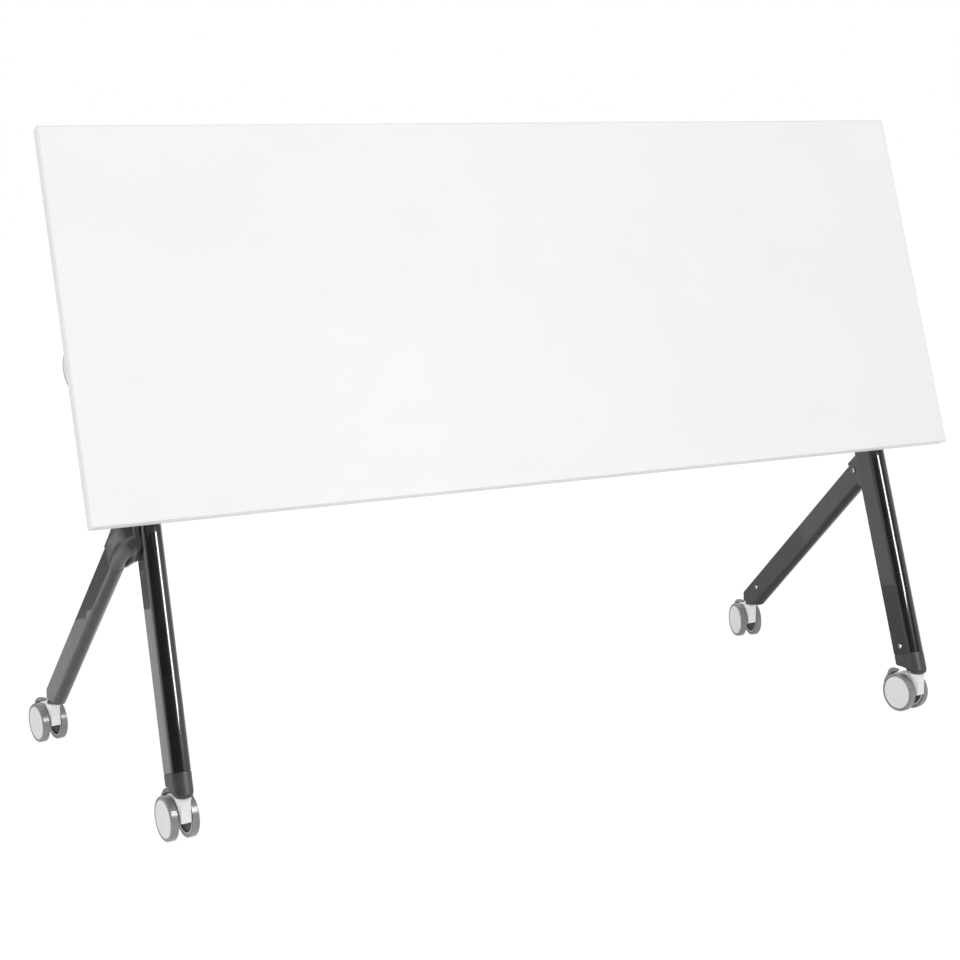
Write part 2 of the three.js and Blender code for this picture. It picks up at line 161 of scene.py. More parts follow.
def fillet(pts, radii, n=5):
    """Open or closed 2-D polyline with its inner corners rounded; radii per point, 0 keeps the corner."""
    out = []
    m = len(pts)
    for i, (p, r) in enumerate(zip(pts, radii)):
        p = np.array(p, float)
        if r <= 0:
            out.append(p)
            continue
        a, b = np.array(pts[i - 1], float), np.array(pts[(i + 1) % m], float)
        u, w = (a - p) / np.linalg.norm(a - p), (b - p) / np.linalg.norm(b - p)
        ang = math.acos(max(-1, min(1, float(u @ w))))
        cut = min(r / math.tan(ang / 2), 0.48 * np.linalg.norm(a - p), 0.48 * np.linalg.norm(b - p))
        rr = cut * math.tan(ang / 2)
        c = p + (u + w) / np.linalg.norm(u + w) * rr / math.sin(ang / 2)
        s, e = p + u * cut - c, p + w * cut - c
        t0 = math.atan2(s[1], s[0])
        dt = (math.atan2(e[1], e[0]) - t0 + math.pi) % (2 * math.pi) - math.pi
        for k in range(n + 1):
            t = t0 + dt * k / n
            out.append(c + rr * np.array([math.cos(t), math.sin(t)]))
    return out


def lathe_x(profile, seg=96):
    """Revolves (r, x) points about X. The profile closes on itself, or starts and ends with r = 0."""
    on_axis = profile[0][0] < 1e-6 and profile[-1][0] < 1e-6
    prof = profile[1:-1] if on_axis else profile
    rings = []
    for k in range(seg):
        a = 2 * math.pi * k / seg
        rings.append([(x, r * math.cos(a), r * math.sin(a)) for r, x in prof])
    m = len(prof)
    verts = [p for ring in rings for p in ring]
    faces = []
    for k in range(seg):
        a, b = k * m, ((k + 1) % seg) * m
        for i in range(m if not on_axis else m - 1):
            j = (i + 1) % m
            faces.append((a + i, a + j, b + j, b + i))
    if on_axis:
        s, e = len(verts), len(verts) + 1
        verts += [(profile[0][1], 0, 0), (profile[-1][1], 0, 0)]
        for k in range(seg):
            a, b = k * m, ((k + 1) % seg) * m
            faces.append((s, a, b))
            faces.append((a + m - 1, e, b + m - 1))
    verts = np.array(verts, float)
    return verts, outward(verts, faces)


def lathe_z(profile, seg=64):
    v, f = lathe_x(profile, seg)
    return np.stack([v[:, 1], v[:, 2], v[:, 0]], 1), f


def clean(verts, faces, bevel=0.0, seg=3, angle=30, cuts=()):
    """Optional plane cuts (point, normal pointing to what goes away), filled, then rounded sharp edges."""
    bm = bmesh.new()
    vs = [bm.verts.new(tuple(p)) for p in verts]
    for f in faces:
        try:
            bm.faces.new([vs[i] for i in f])
        except ValueError:
            pass
    bm.normal_update()
    for co, no in cuts:
        bmesh.ops.bisect_plane(bm, geom=bm.verts[:] + bm.edges[:] + bm.faces[:], dist=1e-4, plane_co=co, plane_no=no, clear_outer=True)
        edges = [e for e in bm.edges if e.is_boundary]
        if edges:
            bmesh.ops.holes_fill(bm, edges=edges, sides=0)
    bmesh.ops.remove_doubles(bm, verts=bm.verts[:], dist=0.02)
    bmesh.ops.recalc_face_normals(bm, faces=bm.faces[:])
    if bevel > 0:
        sharp = [e for e in bm.edges if len(e.link_faces) == 2 and e.calc_face_angle(0) > math.radians(angle)]
        bmesh.ops.bevel(bm, geom=sharp, offset=bevel, offset_type="OFFSET", segments=seg, profile=0.5, affect="EDGES", clamp_overlap=True)
        bmesh.ops.recalc_face_normals(bm, faces=bm.faces[:])
    bm.verts.index_update()
    v = np.array([tuple(p.co) for p in bm.verts], float)
    f = [tuple(p.index for p in q.verts) for q in bm.faces]
    bm.free()
    return v, f


def prism(outline, lo, hi, axis, bevel=1.0, seg=3, angle=28):
    """Closed plate from a 2-D outline, with rounded edges. axis 0: outline in (y, z); axis 2: outline in (x, y)."""
    o = np.array(outline, float)
    a = np.zeros((len(o), 3))
    if axis == 0:
        a[:, 1:] = o
    else:
        a[:, :2] = o
    b = a.copy()
    a[:, axis], b[:, axis] = lo, hi
    v, f = loft([a, b])
    return clean(v, outward(v, f), bevel, seg, angle)


# ---------------------------------------------------------------- distance-field solids, for cast and moulded forms
def sd_poly(pts, a, b):
    d = np.full(a.shape, 1e18)
    s = np.ones(a.shape)
    j = len(pts) - 1
    for i in range(len(pts)):
        xi, yi = pts[i]
        xj, yj = pts[j]
        ex, ey = xj - xi, yj - yi
        wx, wy = a - xi, b - yi
        t = np.clip((wx * ex + wy * ey) / (ex * ex + ey * ey), 0, 1)
        d = np.minimum(d, (wx - ex * t) ** 2 + (wy - ey * t) ** 2)
        c1, c2, c3 = b >= yi, b < yj, (ex * wy) > (ey * wx)
        s = np.where((c1 & c2 & c3) | (~c1 & ~c2 & ~c3), -s, s)
        j = i
    return s * np.sqrt(d)


def rext(d2, dx, r):
    a, b = d2 + r, dx + r
    return np.minimum(np.maximum(a, b), 0) + np.hypot(np.maximum(a, 0), np.maximum(b, 0)) - r


def smin(a, b, k):
    h = np.clip(0.5 + 0.5 * (b - a) / k, 0, 1)
    return b * (1 - h) + a * h - k * h * (1 - h)


def smax(a, b, k):
    return -smin(-a, -b, k)


def sd_rect(a, b, a0, a1, b0, b1):
    qa, qb = np.abs(a - (a0 + a1) / 2) - (a1 - a0) / 2, np.abs(b - (b0 + b1) / 2) - (b1 - b0) / 2
    return np.hypot(np.maximum(qa, 0), np.maximum(qb, 0)) + np.minimum(np.maximum(qa, qb), 0)


def nets(fn, lo, hi, h, relax=2):
    """Surface of fn = 0 as quads. Vertices are put back on the surface after evening out."""
    lo, hi = np.array(lo, float) - 2 * h, np.array(hi, float) + 2 * h
    n = np.ceil((hi - lo) / h).astype(int) + 1
    ax = [lo[i] + h * np.arange(n[i]) for i in range(3)]
    F = fn(*np.meshgrid(*ax, indexing="ij"))
    S = F < 0
    c = {}
    cnt = np.zeros(tuple(n - 1), np.int8)
    for i in (0, 1):
        for j in (0, 1):
            for k in (0, 1):
                sl = (slice(i, n[0] - 1 + i), slice(j, n[1] - 1 + j), slice(k, n[2] - 1 + k))
                c[i, j, k] = sl
                cnt += S[sl]
    act = (cnt > 0) & (cnt < 8)
    cells = np.argwhere(act)
    index = np.full(act.shape, -1, np.int64)
    index[act] = np.arange(len(cells))
    pos, num = np.zeros((len(cells), 3)), np.zeros(len(cells))
    corners = list(c)
    for p in corners:
        for q in corners:
            if sum(q) == sum(p) + 1 and all(y >= x for x, y in zip(p, q)):
                fa, fb = F[c[p]][act], F[c[q]][act]
                m = (fa < 0) != (fb < 0)
                t = np.where(m, fa / np.where(m, fa - fb, 1), 0)
                e = np.array(p)[None] + t[:, None] * (np.array(q) - np.array(p))[None]
                pos += np.where(m[:, None], e, 0)
                num += m
    v = lo + h * (cells + pos / num[:, None])
    faces = []
    for axis in range(3):
        a1, a2 = (axis + 1) % 3, (axis + 2) % 3
        sa, sb = [slice(None)] * 3, [slice(None)] * 3
        sa[axis], sb[axis] = slice(0, n[axis] - 1), slice(1, n[axis])
        A, B = S[tuple(sa)], S[tuple(sb)]
        e = np.argwhere(A != B)
        e = e[(e[:, a1] > 0) & (e[:, a2] > 0) & (e[:, a1] < n[a1] - 1) & (e[:, a2] < n[a2] - 1)]
        up = A[tuple(e.T)]
        ids = []
        for d1, d2 in ((-1, -1), (0, -1), (0, 0), (-1, 0)):
            q = e.copy()
            q[:, a1] += d1
            q[:, a2] += d2
            ids.append(index[tuple(q.T)])
        ids = np.stack(ids, 1)
        ids = np.where(up[:, None], ids, ids[:, ::-1])
        faces.append(ids)
    faces = np.concatenate(faces)
    eps = 0.04

    def grad(p):
        g = np.zeros_like(p)
        for i in range(3):
            s = np.zeros(3)
            s[i] = eps
            g[:, i] = (fn(*(p + s).T) - fn(*(p - s).T)) / (2 * eps)
        return g

    def settle(p, times):
        for _ in range(times):
            g = grad(p)
            d = fn(*p.T)
            step = g * (d / np.maximum((g * g).sum(1), 0.2))[:, None]
            ln = np.linalg.norm(step, axis=1)
            step *= np.minimum(1, 0.7 * h / np.maximum(ln, 1e-9))[:, None]
            p = p - step
        return p

    v = settle(v, 2)
    for _ in range(relax):
        acc, k = np.zeros_like(v), np.zeros(len(v))
        for a in range(4):
            i, j = faces[:, a], faces[:, (a + 1) % 4]
            np.add.at(acc, i, v[j])
            np.add.at(acc, j, v[i])
            np.add.at(k, i, 1)
            np.add.at(k, j, 1)
        v = settle(0.5 * v + 0.5 * acc / k[:, None], 2)
    return v, [tuple(f) for f in faces]


# ---------------------------------------------------------------- materials
def new_mat(name):
    m = bpy.data.materials.new(name)
    m.use_nodes = True
    nt = m.node_tree
    b = nt.nodes["Principled BSDF"]
    return m, nt, b


def node(nt, kind, **kw):
    n = nt.nodes.new(kind)
    for k, v in kw.items():
        setattr(n, k, v)
    return n


def coords(nt, scale=(1, 1, 1), uv=False):
    mp = node(nt, "ShaderNodeMapping")
    mp.inputs["Scale"].default_value = scale
    if uv:
        t = node(nt, "ShaderNodeUVMap", uv_map="run")
        nt.links.new(t.outputs["UV"], mp.inputs["Vector"])
    else:
        t = node(nt, "ShaderNodeTexCoord")
        nt.links.new(t.outputs["Object"], mp.inputs["Vector"])
    return mp.outputs["Vector"]


def noise(nt, vec, scale, detail=4.0, rough=0.55):
    n = node(nt, "ShaderNodeTexNoise")
    n.inputs["Scale"].default_value = scale
    n.inputs["Detail"].default_value = detail
    n.inputs["Roughness"].default_value = rough
    nt.links.new(vec, n.inputs["Vector"])
    return n.outputs["Fac"]


def ramp(nt, fac, stops):
    r = node(nt, "ShaderNodeValToRGB")
    while len(r.color_ramp.elements) < len(stops):
        r.color_ramp.elements.new(0.5)
    for e, (p, c) in zip(r.color_ramp.elements, stops):
        e.position = p
        e.color = (c, c, c, 1) if not isinstance(c, tuple) else (*c, 1)
    nt.links.new(fac, r.inputs["Fac"])
    return r.outputs["Color"]


def spread(nt, fac, lo, hi):
    m = node(nt, "ShaderNodeMapRange")
    m.inputs["From Min"].default_value, m.inputs["From Max"].default_value = 0.3, 0.7
    m.inputs["To Min"].default_value, m.inputs["To Max"].default_value = lo, hi
    nt.links.new(fac, m.inputs["Value"])
    return m.outputs["Result"]


def bump(nt, heights, dist):
    """Chain of bumps: (height socket, strength)."""
    last = None
    for hsock, s in heights:
        b = node(nt, "ShaderNodeBump")
        b.inputs["Strength"].default_value = s
        b.inputs["Distance"].default_value = dist
        nt.links.new(hsock, b.inputs["Height"])
        if last is not None:
            nt.links.new(last, b.inputs["Normal"])
        last = b.outputs["Normal"]
    return last


def painted_edge_highlight(nt, color, edge, low=0.52, high=0.62):
    """Painted highlight: edges made lighter, from how sharply the surface turns."""
    g = node(nt, "ShaderNodeNewGeometry")
    m = node(nt, "ShaderNodeMapRange")
    m.inputs["From Min"].default_value, m.inputs["From Max"].default_value = low, high
    m.inputs["To Min"].default_value, m.inputs["To Max"].default_value = 0.0, 1.0
    nt.links.new(g.outputs["Pointiness"], m.inputs["Value"])
    x = node(nt, "ShaderNodeMix", data_type="RGBA")
    nt.links.new(m.outputs["Result"], x.inputs["Factor"])
    nt.links.new(color, x.inputs["A"])
    x.inputs["B"].default_value = (*edge, 1) if isinstance(edge, tuple) else (edge, edge, edge, 1)
    return x.outputs["Result"]


def surface(name, tones, scale, rough, bumps, dist=0.0004, metal=0.0, coat=0.0, coat_rough=0.05, spec=0.5, ior=1.5, uv=False,
            uv_scale=(1, 1, 1), edge=None, highlight_at=(0.52, 0.62), coat_ior=1.5):
    """A finish: tones = colour stops over a cloudy noise; rough = (low, high); bumps = [(noise scale, strength)]; edge
    = colour of a painted edge highlight.
    """
    m, nt, b = new_mat(name)
    vec = coords(nt, uv_scale, uv)
    base = noise(nt, vec, scale, 6.0)
    col = ramp(nt, base, [(0.3 + 0.4 * i / max(len(tones) - 1, 1), t) for i, t in enumerate(tones)])
    # painted highlight: sharp edges lightened towards the edge colour
    if edge is not None:
        col = painted_edge_highlight(nt, col, edge, *highlight_at)
    nt.links.new(col, b.inputs["Base Color"])
    nt.links.new(spread(nt, noise(nt, vec, scale * 3.1, 5.0), *rough), b.inputs["Roughness"])
    if bumps:
        nt.links.new(bump(nt, [(noise(nt, vec, s, 3.0), k) for s, k in bumps], dist), b.inputs["Normal"])
    b.inputs["Metallic"].default_value = metal
    b.inputs["IOR"].default_value = ior
    b.inputs["Specular IOR Level"].default_value = spec
    b.inputs["Coat Weight"].default_value = coat
    b.inputs["Coat Roughness"].default_value = coat_rough
    b.inputs["Coat IOR"].default_value = coat_ior
    return m


LAMINATE = surface("white_laminate_face", [0.806, 0.816, 0.824], 5.0, (0.48, 0.58), [(700.0, 0.05), (2400.0, 0.04)], 0.0003, spec=0.12)
LAMINATE_BACK = surface("white_laminate_underside", [0.820, 0.830, 0.838], 9.0, (0.42, 0.52), [(500.0, 0.08), (1800.0, 0.06)], 0.0003, spec=0.3)
BAND = surface("white_edge_band", [0.752, 0.764, 0.775], 14.0, (0.40, 0.50), [(900.0, 0.06)], 0.0003, spec=0.2)
# darker copy of the edge band for the front band, which faces down on the tilted top: painted shade
BAND_PAINTED_SHADE = surface("white_edge_band_painted_shade", [0.668, 0.680, 0.692], 14.0, (0.40, 0.50), [(900.0, 0.06)], 0.0003, spec=0.15)
BLACK = surface("black_gloss_coat", [0.0065, 0.0085, 0.0105], 22.0, (0.26, 0.36), [(420.0, 0.05), (1500.0, 0.05)], 0.0003, coat=0.88, coat_rough=0.03, spec=0.2, edge=0.03, highlight_at=(0.55, 0.70))
BLACK_REAR = surface("black_satin_coat", [0.0100, 0.0122, 0.0150], 22.0, (0.34, 0.44), [(420.0, 0.07), (1500.0, 0.07)], 0.0003, coat=0.62, coat_rough=0.03, spec=0.3, edge=0.02, highlight_at=(0.55, 0.70))
CAST = surface("charcoal_casting", [0.026, 0.034, 0.043], 40.0, (0.36, 0.50), [(260.0, 0.16), (900.0, 0.14)], 0.0005, coat=0.35, coat_rough=0.22, spec=0.45, edge=0.10, highlight_at=(0.53, 0.66))
FOOT = surface("charcoal_nylon", [0.030, 0.036, 0.042], 60.0, (0.40, 0.52), [(700.0, 0.14), (2200.0, 0.10)], 0.0004, spec=0.5, edge=0.10, highlight_at=(0.53, 0.66))
STEEL = surface("zinc_steel", [0.46, 0.52, 0.58], 60.0, (0.24, 0.38), [(800.0, 0.10)], 0.0003, metal=1.0)
STEM_MAT = surface("dark_zinc", [0.085, 0.105, 0.125], 70.0, (0.34, 0.46), [(900.0, 0.12)], 0.0003, metal=0.6)
SCREW = surface("bright_plated", [0.78, 0.84, 0.90], 90.0, (0.14, 0.24), [(1500.0, 0.06)], 0.0002, metal=1.0)
# dark shadow material: painted shade in the hex sockets, the seats under the screw heads, the spigot at the foot cap
# seam and the joint line
SOCKET = surface("socket_shadow", [0.012, 0.018, 0.026], 90.0, (0.5, 0.6), [(1500.0, 0.1)], 0.0002)
BEAM = surface("black_powder_coat", [0.016, 0.020, 0.024], 30.0, (0.42, 0.54), [(900.0, 0.22), (2600.0, 0.16)], 0.0004, spec=0.5, edge=0.08, highlight_at=(0.53, 0.66))
PADDLE = surface("light_grey_moulding", [0.70, 0.73, 0.755], 50.0, (0.38, 0.50), [(900.0, 0.12)], 0.0003, edge=0.80, highlight_at=(0.54, 0.68))
# same grey moulding, made darker for the faces that do not point the way the board's top face points: painted shade
PADDLE_PAINTED_SHADE = surface("grey_moulding_painted_shade", [0.27, 0.30, 0.33], 50.0, (0.42, 0.54), [(900.0, 0.12)], 0.0003)
TYRE = surface("grey_polyurethane", [0.175, 0.198, 0.222], 70.0, (0.30, 0.42), [(600.0, 0.05)], 0.0003, coat=0.30, coat_rough=0.09, spec=0.4, edge=0.28, highlight_at=(0.53, 0.66))
HUB = surface("light_grey_nylon", [0.622, 0.652, 0.676], 40.0, (0.34, 0.46), [(900.0, 0.07)], 0.0003, spec=0.4, edge=0.78, highlight_at=(0.53, 0.66))
# dark inner face of the hubs: partly a darker inner plate, partly painted shade in the recess between the two wheels
HUB_INNER_PLATE_AND_SHADE = surface("wheel_inner_web", [0.060, 0.078, 0.10], 80.0, (0.5, 0.62), [(500.0, 0.2)], 0.0004)
HOOD = surface("near_white_nylon", [0.71, 0.74, 0.765], 45.0, (0.36, 0.48), [(900.0, 0.08)], 0.0003, spec=0.4)
PEDAL = surface("mid_grey_nylon", [0.190, 0.220, 0.250], 70.0, (0.42, 0.54), [(700.0, 0.16)], 0.0003, edge=0.32, highlight_at=(0.53, 0.66))


# ---------------------------------------------------------------- table top, in its own flat axes about the pivot
def top_to_world(v):
    v = np.asarray(v, float)
    c, s = math.cos(FLIP), math.sin(FLIP)
    out = v.copy()
    out[:, 1] = PIV[1] + c * v[:, 1] - s * v[:, 2]
    out[:, 2] = PIV[2] + s * v[:, 1] + c * v[:, 2]
    return out


def slab(x0, x1, y0, y1, z0, z1, corner, edge, nx, ny):
    """Board with rounded plan corners and rounded edges; its faces are not divided (nx and ny are not used)."""
    n = 6
    plan = []
    for sx, sy, a0 in ((1, 1, 0), (-1, 1, 90), (-1, -1, 180), (1, -1, 270)):
        cx, cy = (x1 if sx > 0 else x0) - sx * corner, (y1 if sy > 0 else y0) - sy * corner
        for k in range(n + 1):
            a = math.radians(a0 + 90 * k / n)
            plan.append((cx + corner * math.cos(a), cy + corner * math.sin(a), math.cos(a), math.sin(a)))
    plan = np.array(plan)
    rings = []
    for k in range(6):
        a = math.pi / 2 * k / 5
        i, z = edge * (1 - math.sin(a)), z0 + edge * (1 - math.cos(a))
        rings.append(np.column_stack([plan[:, 0] - i * plan[:, 2], plan[:, 1] - i * plan[:, 3], np.full(len(plan), z)]))
    for k in range(6):
        a = math.pi / 2 * k / 5
        i, z = edge * (1 - math.cos(a)), z1 - edge * (1 - math.sin(a))
        rings.append(np.column_stack([plan[:, 0] - i * plan[:, 2], plan[:, 1] - i * plan[:, 3], np.full(len(plan), z)]))
    return loft(rings)


def top_piece(name, vf, mats, slot_name, node_names, **kw):
    v, f = vf
    return obj_from(name, top_to_world(v), outward(v, f), mats, "top", slot_name, node_names, **{"sharp": 40, **kw})


HX, YF, YR, Z0, Z1 = 901.5, -131.0, 573.0, 68.0, 93.0
bv, bf = slab(-HX + 2.12, HX - 2.12, YF + 2.12, YR - 2.12, Z0, Z1, 0.4, 0.22, 1, 1)
bf = outward(bv, bf)
ids = [1 if np.mean(bv[list(f)][:, 2]) < Z0 + 0.2 else 0 for f in bf]
obj_from("tabletop_board_skin", top_to_world(bv), bf, [LAMINATE, LAMINATE_BACK], "top", "white_laminate", ["tabletop_board"], mat_ids=ids, even=True)


def band(name, x0, x1, y0, y1, finish=BAND):
    v, f = slab(x0, x1, y0, y1, Z0 - 0.05, Z1 + 0.05, 0.9, 0.7, 1, 1)
    top_piece(name + "_strip", (v, f), finish, "white_band", [name], sharp=None, even=True)


# the front band takes the darker copy of the band: painted shade
band("edge_band_front", -HX + 2.05, HX - 2.05, YF, YF + 2.06, BAND_PAINTED_SHADE)
band("edge_band_rear", -HX + 2.05, HX - 2.05, YR - 2.06, YR)
band("edge_band_left", -HX, -HX + 2.06, YF, YR)
band("edge_band_right", HX - 2.06, HX, YF, YR)


# brackets: a plate with two pivot ears and two shaft ears, welded
def arc(cy, cz, r, a0, a1, n):
    return [(cy + r * math.cos(math.radians(a0 + (a1 - a0) * k / n)), cz + r * math.sin(math.radians(a0 + (a1 - a0) * k / n))) for k in range(n + 1)]


EAR = [(-45, 64)] + arc(0, 0, 18, 200, 340, 12) + [(45, 64)]
SHEAR = [(128, 64)] + arc(150, 48, 12, 200, 340, 8) + [(172, 64)]


def bracket_field(x, y, z):
    xl = np.abs(x - LEG_X)
    plate = rext(sd_rect(x, y, LEG_X - 28, LEG_X + 28, -89, 184) - 6, np.abs(z - 64.85) - 2.85, 1.2)
    ear = rext(sd_poly(EAR, y, z), np.abs(xl - 22.5) - 3.5, 1.0)
    she = rext(sd_poly(SHEAR, y, z), np.abs(xl - 14.5) - 2.5, 0.9)
    return smin(smin(plate, ear, 3.0), she, 2.4)


brv, brf = nets(bracket_field, (LEG_X - 35, -96, -19), (LEG_X + 35, 191, 68.2), 1.7)


def pan_screw(r, head):
    prof = [(0, 0.0)] + [(r * math.sin(t), head * math.cos(t) * 0.9 + 0.1 * head) for t in np.linspace(0.08, math.pi / 2, 7)] + [(r, -0.4), (0, -0.4)]
    prof[0] = (0, head)
    v, f = lathe_z([(a, b) for a, b in prof], 28)
    return v, f


def cross_cut(v, r):
    """Presses a cross recess into the top of a pan head."""
    v = v.copy()
    m = (np.minimum(np.abs(v[:, 0]), np.abs(v[:, 1])) < 0.7) & (np.hypot(v[:, 0], v[:, 1]) < 0.62 * r) & (v[:, 2] > 0.3)
    v[m, 2] -= 0.9
    return v


for side, sgn in (("right", 1), ("left", -1)):
    v, f = (brv, brf) if sgn > 0 else mirror(brv, brf)
    top_piece("top_bracket_%s_weldment" % side, (v, f), BEAM, "bracket_black", ["top_bracket_" + side])
    k = 0
    sv, sf = [], []
    for sx in (-1, 1):
        for yy in (-80, 90, 176):
            hv, hf = pan_screw(5.2, 2.6)
            hv = cross_cut(hv, 5.2)
            hv[:, 2] = 62.0 - hv[:, 2]
            hv[:, 0] += sgn * LEG_X + sx * 25.5
            hv[:, 1] += yy
            sf += [tuple(i + k for i in q) for q in flip(hf)]
            sv.append(hv)
            k += len(hv)
    sv = np.concatenate(sv)
    obj_from("bracket_screws_" + side, top_to_world(sv), sf, STEEL, "top", "steel", sharp=45)

# latch shaft with its two hooks, and the release paddle
HOOK = fillet([(144, 50), (144, 42), (147, 32), (147, 6), (132, 6), (132, 1), (136, -3), (154, -3), (157, 2), (157, 42), (156, 50)],
              [3, 2, 2, 2.2, 1.2, 1.5, 2, 3, 3, 3, 3], 4)


def rod_profile(x0, x1, r, ch):
    return [(0, x0), (r - ch, x0), (r, x0 + ch), (r, x1 - ch), (r - ch, x1), (0, x1)]


rv, rf = lathe_x(rod_profile(-848, LEG_X + 24, 6, 1.0), 32)
rv = rv + np.array([0, 150, 48])
obj_from("latch_shaft_rod", top_to_world(rv), rf, STEEL, "latch", "steel", ["latch_shaft"], sharp=40)
for side, sgn in (("right", 1), ("left", -1)):
    v, f = prism(HOOK, sgn * LEG_X - 8, sgn * LEG_X + 8, 0, 1.0, 3)
    obj_from("latch_hook_" + side, top_to_world(v), outward(v, f), BEAM, "latch", "steel", ["latch_shaft"], sharp=40)
    c, cf = lathe_x([(6.2, -9.6), (8.6, -9.6), (9.2, -8.9), (9.2, 8.9), (8.6, 9.6), (6.2, 9.6)], 36)
    obj_from("latch_hook_boss_" + side, top_to_world(c + np.array([sgn * LEG_X, 150, 48])), cf, BEAM, "latch", "steel", ["latch_shaft"], sharp=40)

PAD = []
for k in range(15):
    a = math.radians(160 + 40 * k / 14)
    PAD.append((-900.8 + 82 * (1 + math.cos(a)), 152 + 82 * math.sin(a)))
PAD = sorted(PAD, key=lambda p: -p[1]) + [(-845, 126), (-838, 135), (-838, 165), (-845, 176)]


def paddle_field(x, y, z):
    body = rext(sd_poly(PAD, x, y) + 0.0, np.abs(z - 48) - 5.0, 2.8)
    dish = np.sqrt(((x + 880) / 1.0) ** 2 + ((y - 151) / 1.7) ** 2 + ((z - 39.5) * 2.2) ** 2) - 11.5
    hub = rext(np.hypot(y - 150, z - 48) - 9.5, np.abs(x + 857) - 19, 1.6)
    return smin(smax(body, -dish, 1.5), hub, 4.0)


pv, pf = nets(paddle_field, (-902, 120, 38), (-837, 184, 58), 0.95)
# faces that do not point the way the board's top face points get the darker grey: painted shade
paddle_shade_ids = []
for q in pf:
    a, b, c, d = (pv[i] for i in q)
    n = np.cross(c - a, d - b)
    paddle_shade_ids.append(1 if n[2] < 0.35 * np.linalg.norm(n) else 0)
obj_from("release_paddle_grip", top_to_world(pv), pf, [PADDLE, PADDLE_PAINTED_SHADE], "latch", "paddle_grey", ["release_paddle"], sharp=50, mat_ids=paddle_shade_ids)


# ---------------------------------------------------------------- leg frames
def d_outline(w, flat, corner, inset=0.0, nose=36):
    """(s, t) loop, counter-clockwise: rounded back corners, flat sides, round nose towards -t."""
    h = w / 2 - inset
    pts = [(h - corner + corner * math.cos(a), -inset - corner + corner * math.sin(a)) for a in np.linspace(0, math.pi / 2, 7)]
    pts += [(-h + corner + corner * math.cos(a), -inset - corner + corner * math.sin(a)) for a in np.linspace(math.pi / 2, math.pi, 7)]
    pts += [(-h, -inset - corner - (flat - corner - inset) * k / 4) for k in (1, 2, 3)]
    pts += [(h * math.cos(a), -flat + h * math.sin(a)) for a in np.linspace(math.pi, 2 * math.pi, nose + 1)]
    pts += [(h, -flat + (flat - corner - inset) * k / 4) for k in (1, 2, 3)]
    return np.array(pts)


def bar(origin, s_ax, t_ax, q_ax, w, flat, corner, q0, q1, steps, end0=0.7, end1=0.7):
    qs = np.linspace(q0, q1, steps + 1)
    stations = [(q0, end0), (q0 + 0.35 * end0, 0.35 * end0), (q0 + end0, 0.0)] + [(q, 0.0) for q in qs[1:-1]] + [(q1 - end1, 0.0), (q1 - 0.35 * end1, 0.35 * end1), (q1, end1)]
    rings, uv = [], []
    for q, ins in stations:
        o = d_outline(w, flat, max(corner - ins, 0.4), ins)
        rings.append(origin + np.outer(o[:, 0], s_ax) + np.outer(o[:, 1], t_ax) + q * q_ax)
        per = np.concatenate([[0], np.cumsum(np.linalg.norm(np.diff(o, axis=0), axis=1))])
        uv.append(np.column_stack([per / 1000, np.full(len(o), q / 1000)]))
    v, f = loft(rings)
    return v, outward(v, f), np.concatenate(uv)


F_ORIG = PIV + np.array([LEG_X, 0, 0]) + TF * F_TOT / 2
flv, flf, fluv = bar(F_ORIG, np.array([1.0, 0, 0]), TF, RUN, F_W, F_FLAT, 2.6, F_SEAM, F_TOP, 14, 0.2, 0.35)
spv, spf, _ = bar(F_ORIG - TF * 1.5, np.array([1.0, 0, 0]), TF, RUN, F_W - 3.0, F_FLAT - 1.5, 1.5, F_SEAM - 4, F_SEAM + 3, 2, 0.2, 0.2)
rlv, rlf, rluv = bar(P1, WR, DR, UR, R_W, R_FLAT, 2.4, -140, R_CUT + 12.5, 14)
rlv, rlf = clean(rlv, rlf, cuts=[((0, R_END_Y, 0), (0, 1, 0)), ((0, 0, R_END_Z), (0, 0, -1))])


def round_cut(v, f, planes, r, seg=4):
    """Rounds the edges that lie in the given cut planes (axis, value)."""
    bm = bmesh.new()
    vs = [bm.verts.new(tuple(p)) for p in v]
    for q in f:
        bm.faces.new([vs[i] for i in q])
    bm.normal_update()
    pick = []
    for e in bm.edges:
        a, b = e.verts[0].co, e.verts[1].co
        for axis, val in planes:
            if abs(a[axis] - val) < 0.01 and abs(b[axis] - val) < 0.01 and len(e.link_faces) == 2 and e.calc_face_angle(0) > math.radians(15):
                pick.append(e)
                break
    bmesh.ops.bevel(bm, geom=pick, offset=r, offset_type="OFFSET", segments=seg, profile=0.5, affect="EDGES", clamp_overlap=True)
    bmesh.ops.recalc_face_normals(bm, faces=bm.faces[:])
    bm.verts.index_update()
    out = np.array([tuple(p.co) for p in bm.verts], float)
    fs = [tuple(p.index for p in q.verts) for q in bm.faces]
    bm.free()
    return out, fs


rlv, rlf = round_cut(rlv, rlf, [(1, R_END_Y), (2, R_END_Z)], 1.6)


def front_local(x, y, z):
    dy, dz = y - F_ORIG[1], z - F_ORIG[2]
    q = dy * AF[1] + dz * AF[2]
    return x - LEG_X + SPLAY * q, dy * TF[1] + dz * TF[2], q


def d_dist(s, t, w, flat, corner):
    """Distance to the D-shaped section."""
    h = w / 2
    qs, qt = np.abs(s) - (h - corner), t + corner
    sides = np.hypot(np.maximum(qs, 0), np.maximum(qt, 0)) + np.minimum(np.maximum(qs, qt), 0) - corner
    nose = np.hypot(s, t + flat) - h
    return np.where(t > -flat, sides, nose)


def cap_field(x, y, z):
    s, t, q = front_local(x, y, z)
    d = d_dist(s, t, F_W, F_FLAT, 3.0) + 0.9 * np.clip((95 - z) * 0.35, 0, 2.5)
    body = rext(d, q - (F_SEAM - 0.95), 0.35)
    step = sd_rect(y, z, -157.5, 60, 0, 92.5)
    body = smax(body, -step, 1.6)
    return smax(body, FOOT_F - z, 1.4)


